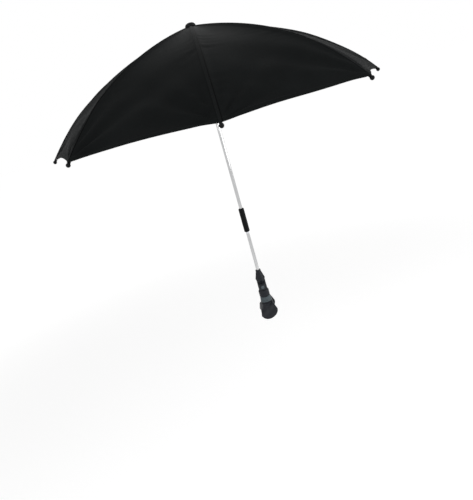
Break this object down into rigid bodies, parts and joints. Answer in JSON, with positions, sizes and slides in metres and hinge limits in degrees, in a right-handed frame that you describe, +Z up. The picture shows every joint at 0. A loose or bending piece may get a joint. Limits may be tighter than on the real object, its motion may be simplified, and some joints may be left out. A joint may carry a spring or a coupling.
{
  "type": "pram parasol",
  "caption": "Round folding pram parasol: black ribbed canopy on a jointed chrome mast with locking sleeve, and a swivelling, tilting clamp that grips a sloping frame tube.",
  "frame": {"origin": "centre of the tube that the clamp grips, on the mast's axis", "axes": "+Z up the mast, +X to the side where the gripped tube rises, -Y to the front, where the tilt knob is"},
  "size_m": [0.746, 0.746, 0.7017],
  "materials": {
    "clamp_plastic": "moulded, fine grain",
    "black_plastic": "moulded, satin",
    "grey_plastic": "moulded, satin",
    "rubber": "moulded rubber",
    "brass": "turned",
    "zinc_steel": "zinc plated",
    "mast_chrome": "chrome plated tube",
    "rib_steel": "galvanised spring steel",
    "canopy_cloth": "plain-woven polyester, black"
  },
  "bodies": {
    "clamp": {"clamp_body": "clamp_plastic", "jaw_lining": "rubber", "screw_insert": "brass", "swivel_ring": "grey_plastic", "swivel_bolt": "zinc_steel"},
    "pressure_pad": {"pressure_pad": "rubber"},
    "thumb_screw": {"thumb_screw": "zinc_steel", "thumb_knob": "clamp_plastic"},
    "yoke": {"yoke": "clamp_plastic", "tilt_bolt": "zinc_steel"},
    "tilt_knob": {"tilt_knob": "clamp_plastic", "knob_cap": "grey_plastic"},
    "lower_mast": {"mast_socket": "clamp_plastic", "lower_mast": "mast_chrome", "lower_knuckle": "zinc_steel", "knuckle_pin": "zinc_steel"},
    "upper_mast": {"upper_mast": "mast_chrome", "upper_knuckle": "zinc_steel", "crown": "black_plastic", "crown_wire": "zinc_steel", "top_cap": "black_plastic", "runner_catch": "zinc_steel"},
    "locking_sleeve": {"locking_sleeve": "black_plastic"},
    "runner": {"runner": "black_plastic", "runner_wire": "zinc_steel"},
    "rib_1": {"rib_1": "rib_steel", "rib_tip_1": "black_plastic", "canopy_panel_1": "canopy_cloth"},
    "rib_2": {"rib_2": "rib_steel", "rib_tip_2": "black_plastic", "canopy_panel_2": "canopy_cloth"},
    "rib_3": {"rib_3": "rib_steel", "rib_tip_3": "black_plastic", "canopy_panel_3": "canopy_cloth"},
    "rib_4": {"rib_4": "rib_steel", "rib_tip_4": "black_plastic", "canopy_panel_4": "canopy_cloth"},
    "rib_5": {"rib_5": "rib_steel", "rib_tip_5": "black_plastic", "canopy_panel_5": "canopy_cloth"},
    "rib_6": {"rib_6": "rib_steel", "rib_tip_6": "black_plastic", "canopy_panel_6": "canopy_cloth"},
    "rib_7": {"rib_7": "rib_steel", "rib_tip_7": "black_plastic", "canopy_panel_7": "canopy_cloth"},
    "rib_8": {"rib_8": "rib_steel", "rib_tip_8": "black_plastic", "canopy_panel_8": "canopy_cloth"},
    "stretcher_1": {"stretcher_1": "rib_steel"},
    "stretcher_2": {"stretcher_2": "rib_steel"},
    "stretcher_3": {"stretcher_3": "rib_steel"},
    "stretcher_4": {"stretcher_4": "rib_steel"},
    "stretcher_5": {"stretcher_5": "rib_steel"},
    "stretcher_6": {"stretcher_6": "rib_steel"},
    "stretcher_7": {"stretcher_7": "rib_steel"},
    "stretcher_8": {"stretcher_8": "rib_steel"}
  },
  "joints": [
    {"name": "thumb_screw_turn", "type": "hinge", "parent": "pressure_pad", "child": "thumb_screw", "pos_m": [0, 0.02, 0], "axis": [0, 1, 0], "range_deg": [-1728, 1440]},
    {"name": "pressure_pad_slide", "type": "slide", "parent": "clamp", "child": "pressure_pad", "axis": [0, 1, 0], "range_m": [-0.006, 0.005]},
    {"name": "clamp_swivel", "type": "hinge", "parent": "clamp", "child": "yoke", "pos_m": [0, 0, 0.05], "axis": [0, 0, 1], "continuous": true},
    {"name": "tilt_knob_turn", "type": "hinge", "parent": "yoke", "child": "tilt_knob", "pos_m": [0, -0.014, 0.0785], "axis": [0, 1, 0], "continuous": true},
    {"name": "mast_tilt", "type": "hinge", "parent": "yoke", "child": "lower_mast", "pos_m": [0, 0, 0.0785], "axis": [0, 1, 0], "range_deg": [-85, 85]},
    {"name": "mast_bend", "type": "hinge", "parent": "lower_mast", "child": "upper_mast", "pos_m": [0, 0, 0.23], "axis": [0, 1, 0], "range_deg": [0, 80]},
    {"name": "sleeve_lift", "type": "slide", "parent": "upper_mast", "child": "locking_sleeve", "axis": [0, 0, 1], "range_m": [0, 0.04]},
    {"name": "runner_slide", "type": "slide", "parent": "upper_mast", "child": "runner", "axis": [0, 0, -1], "range_m": [0, 0.19821], "deforming": ["runner_catch"]},
    {"name": "rib_1_fold", "type": "hinge", "parent": "upper_mast", "child": "rib_1", "pos_m": [0, -0.0075, 0.678], "axis": [1, 0, 0], "range_deg": [0, 60], "deforming": ["canopy_panel_1"]},
    {"name": "rib_2_fold", "type": "hinge", "parent": "upper_mast", "child": "rib_2", "pos_m": [0.0053, -0.0053, 0.678], "axis": [0.7071, 0.7071, 0], "range_deg": [0, 60], "deforming": ["canopy_panel_2"]},
    {"name": "rib_3_fold", "type": "hinge", "parent": "upper_mast", "child": "rib_3", "pos_m": [0.0075, 0, 0.678], "axis": [0, 1, 0], "range_deg": [0, 60], "deforming": ["canopy_panel_3"]},
    {"name": "rib_4_fold", "type": "hinge", "parent": "upper_mast", "child": "rib_4", "pos_m": [0.0053, 0.0053, 0.678], "axis": [-0.7071, 0.7071, 0], "range_deg": [0, 60], "deforming": ["canopy_panel_4"]},
    {"name": "rib_5_fold", "type": "hinge", "parent": "upper_mast", "child": "rib_5", "pos_m": [0, 0.0075, 0.678], "axis": [-1, 0, 0], "range_deg": [0, 60], "deforming": ["canopy_panel_5"]},
    {"name": "rib_6_fold", "type": "hinge", "parent": "upper_mast", "child": "rib_6", "pos_m": [-0.0053, 0.0053, 0.678], "axis": [-0.7071, -0.7071, 0], "range_deg": [0, 60], "deforming": ["canopy_panel_6"]},
    {"name": "rib_7_fold", "type": "hinge", "parent": "upper_mast", "child": "rib_7", "pos_m": [-0.0075, 0, 0.678], "axis": [0, -1, 0], "range_deg": [0, 60], "deforming": ["canopy_panel_7"]},
    {"name": "rib_8_fold", "type": "hinge", "parent": "upper_mast", "child": "rib_8", "pos_m": [-0.0053, -0.0053, 0.678], "axis": [0.7071, -0.7071, 0], "range_deg": [0, 60], "deforming": ["canopy_panel_8"]},
    {"name": "stretcher_1_fold", "type": "hinge", "parent": "rib_1", "child": "stretcher_1", "pos_m": [0, -0.15061, 0.63485], "axis": [1, 0, 0], "range_deg": [-118.74, 0]},
    {"name": "stretcher_2_fold", "type": "hinge", "parent": "rib_2", "child": "stretcher_2", "pos_m": [0.1065, -0.1065, 0.63485], "axis": [0.7071, 0.7071, 0], "range_deg": [-118.74, 0]},
    {"name": "stretcher_3_fold", "type": "hinge", "parent": "rib_3", "child": "stretcher_3", "pos_m": [0.15061, 0, 0.63485], "axis": [0, 1, 0], "range_deg": [-118.74, 0]},
    {"name": "stretcher_4_fold", "type": "hinge", "parent": "rib_4", "child": "stretcher_4", "pos_m": [0.1065, 0.1065, 0.63485], "axis": [-0.7071, 0.7071, 0], "range_deg": [-118.74, 0]},
    {"name": "stretcher_5_fold", "type": "hinge", "parent": "rib_5", "child": "stretcher_5", "pos_m": [0, 0.15061, 0.63485], "axis": [-1, 0, 0], "range_deg": [-118.74, 0]},
    {"name": "stretcher_6_fold", "type": "hinge", "parent": "rib_6", "child": "stretcher_6", "pos_m": [-0.1065, 0.1065, 0.63485], "axis": [-0.7071, -0.7071, 0], "range_deg": [-118.74, 0]},
    {"name": "stretcher_7_fold", "type": "hinge", "parent": "rib_7", "child": "stretcher_7", "pos_m": [-0.15061, 0, 0.63485], "axis": [0, -1, 0], "range_deg": [-118.74, 0]},
    {"name": "stretcher_8_fold", "type": "hinge", "parent": "rib_8", "child": "stretcher_8", "pos_m": [-0.1065, -0.1065, 0.63485], "axis": [0.7071, -0.7071, 0], "range_deg": [-118.74, 0]}
  ],
  "couplings": [
    {"joint": "thumb_screw_turn", "follows": "pressure_pad_slide", "rad_per_m": 5026.5},
    {"joint": "sleeve_lift", "follows": "mast_bend", "m_per_rad": 0.028648},
    {"joint": "rib_2_fold", "follows": "rib_1_fold", "ratio": 1},
    {"joint": "rib_3_fold", "follows": "rib_1_fold", "ratio": 1},
    {"joint": "rib_4_fold", "follows": "rib_1_fold", "ratio": 1},
    {"joint": "rib_5_fold", "follows": "rib_1_fold", "ratio": 1},
    {"joint": "rib_6_fold", "follows": "rib_1_fold", "ratio": 1},
    {"joint": "rib_7_fold", "follows": "rib_1_fold", "ratio": 1},
    {"joint": "rib_8_fold", "follows": "rib_1_fold", "ratio": 1},
    {"joint": "stretcher_1_fold", "follows": "rib_1_fold", "ratio": -1.979},
    {"joint": "stretcher_2_fold", "follows": "rib_1_fold", "ratio": -1.979},
    {"joint": "stretcher_3_fold", "follows": "rib_1_fold", "ratio": -1.979},
    {"joint": "stretcher_4_fold", "follows": "rib_1_fold", "ratio": -1.979},
    {"joint": "stretcher_5_fold", "follows": "rib_1_fold", "ratio": -1.979},
    {"joint": "stretcher_6_fold", "follows": "rib_1_fold", "ratio": -1.979},
    {"joint": "stretcher_7_fold", "follows": "rib_1_fold", "ratio": -1.979},
    {"joint": "stretcher_8_fold", "follows": "rib_1_fold", "ratio": -1.979},
    {"joint": "runner_slide", "follows": "rib_1_fold", "m_per_rad": 0.18928}
  ]
}
